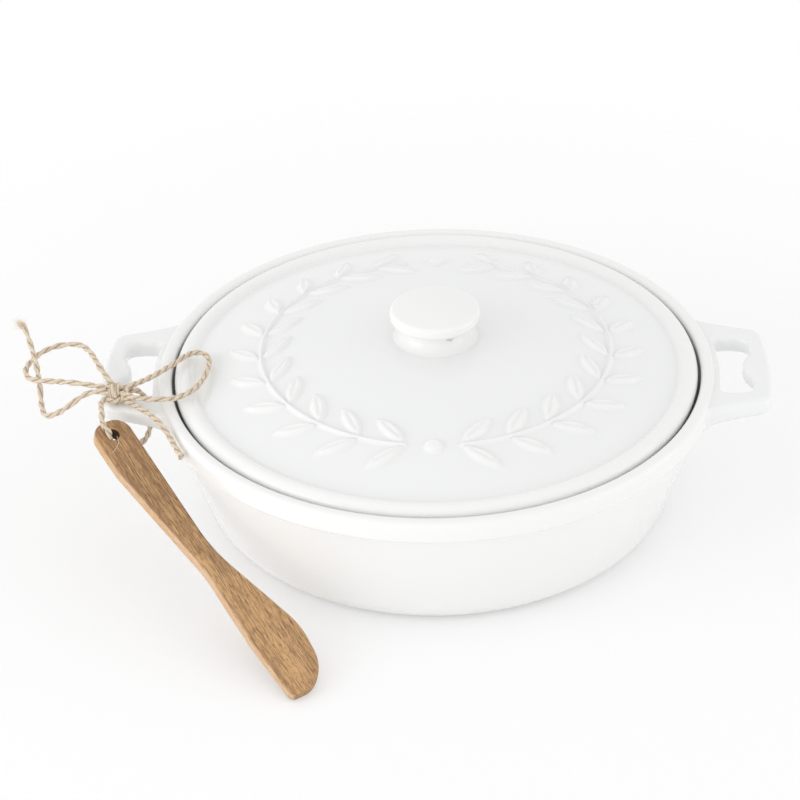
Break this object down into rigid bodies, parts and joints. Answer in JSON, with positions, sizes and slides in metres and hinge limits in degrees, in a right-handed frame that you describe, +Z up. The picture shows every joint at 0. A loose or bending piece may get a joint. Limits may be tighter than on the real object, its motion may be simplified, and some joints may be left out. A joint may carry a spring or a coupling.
{
  "type": "camembert baker",
  "caption": "Round lidded stoneware baker for a small soft cheese, with pierced lug handles, a wreath in relief on the lid and a wooden spreader tied on with jute string.",
  "frame": {"origin": "centre of the dish's flat base, in the plane it stands on", "axes": "+Z up along the dish's axis, X along the two lug handles with the spreader tied to the one at -X, -Y towards the side where the spreader lies"},
  "size_m": [0.2589, 0.2146, 0.0738],
  "materials": {
    "glaze": "gloss",
    "wood": "oiled",
    "jute": "matte"
  },
  "bodies": {
    "root": {"dish": "glaze", "lid": "glaze", "spreader": "wood", "string_tie": "jute", "string_loop_left": "jute", "string_loop_right": "jute", "string_tail_left": "jute", "string_tail_right": "jute", "string_knot": "jute"}
  },
  "joints": []
}
